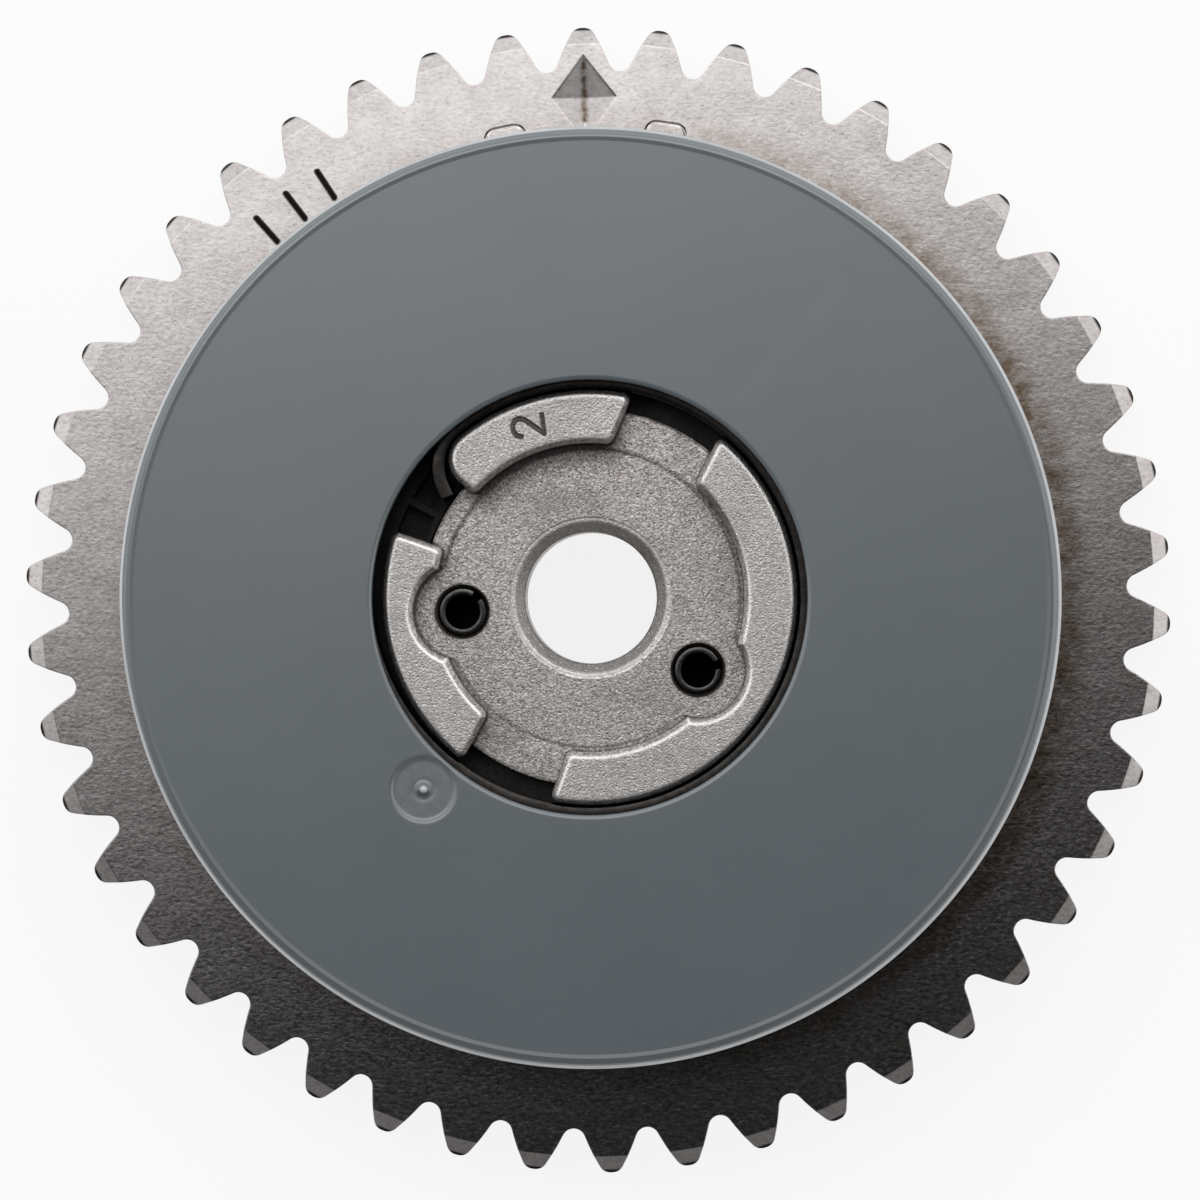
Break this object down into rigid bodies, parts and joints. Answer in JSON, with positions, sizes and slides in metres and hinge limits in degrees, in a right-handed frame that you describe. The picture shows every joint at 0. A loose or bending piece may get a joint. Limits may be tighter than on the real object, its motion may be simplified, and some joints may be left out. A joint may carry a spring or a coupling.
{
  "type": "cam phaser",
  "caption": "Hydraulic vane cam phaser with a chain sprocket, a grey spring cover and a lugged hub.",
  "frame": {"origin": "on the camshaft axis, at the rear face of the sprocket that the part rests on", "axes": "+Z along the camshaft axis towards the front of the engine, +Y near the timing mark"},
  "size_m": [0.1216, 0.1216, 0.0383],
  "materials": {
    "ground_steel": "fine ground sintered steel",
    "sintered_steel": "oiled sintered steel",
    "dark_plate": "dark phosphated steel",
    "blasted_steel": "grainy blasted sintered steel",
    "hardened_steel": "ground hardened steel",
    "black_spring_steel": "black oiled spring steel",
    "spring_band": "dark rolled spring steel",
    "bolt_steel": "dark phosphated steel",
    "grey_cover": "satin grey moulded plastic",
    "seal_plastic": "dark filled sealing plastic"
  },
  "bodies": {
    "housing": {"sprocket": "ground_steel", "lock_bush": "hardened_steel", "housing_dowel": "hardened_steel", "stator_housing": "sintered_steel", "front_plate": "dark_plate", "spring_anchor_pin": "hardened_steel", "bias_spring": "spring_band", "spring_cover": "grey_cover", "housing_bolt_1": "bolt_steel", "housing_bolt_2": "bolt_steel", "housing_bolt_3": "bolt_steel", "housing_bolt_4": "bolt_steel", "lobe_seal_1": "seal_plastic", "lobe_seal_2": "seal_plastic", "lobe_seal_3": "seal_plastic", "lobe_seal_4": "seal_plastic", "lobe_seal_spring_1": "black_spring_steel", "lobe_seal_spring_2": "black_spring_steel", "lobe_seal_spring_3": "black_spring_steel", "lobe_seal_spring_4": "black_spring_steel"},
    "rotor": {"rotor": "sintered_steel", "spring_carrier": "blasted_steel", "roll_pin_left": "black_spring_steel", "roll_pin_right": "black_spring_steel", "lock_spring_cap": "hardened_steel", "lock_pin_spring": "black_spring_steel", "vane_seal_1": "seal_plastic", "vane_seal_2": "seal_plastic", "vane_seal_3": "seal_plastic", "vane_seal_4": "seal_plastic", "vane_seal_spring_1": "black_spring_steel", "vane_seal_spring_2": "black_spring_steel", "vane_seal_spring_3": "black_spring_steel", "vane_seal_spring_4": "black_spring_steel"},
    "lock_pin": {"lock_pin": "hardened_steel"}
  },
  "joints": [
    {"name": "rotor_advance", "type": "hinge", "parent": "housing", "child": "rotor", "pos_m": [0, 0, 0.017], "axis": [0, 0, -1], "range_deg": [0, 25], "deforming": ["bias_spring"]},
    {"name": "lock_pin_slide", "type": "slide", "parent": "rotor", "child": "lock_pin", "axis": [0, 0, 1], "range_m": [0, 0.002], "stiffness_N_per_m": 800, "springref_m": -0.004, "deforming": ["lock_pin_spring"]}
  ]
}
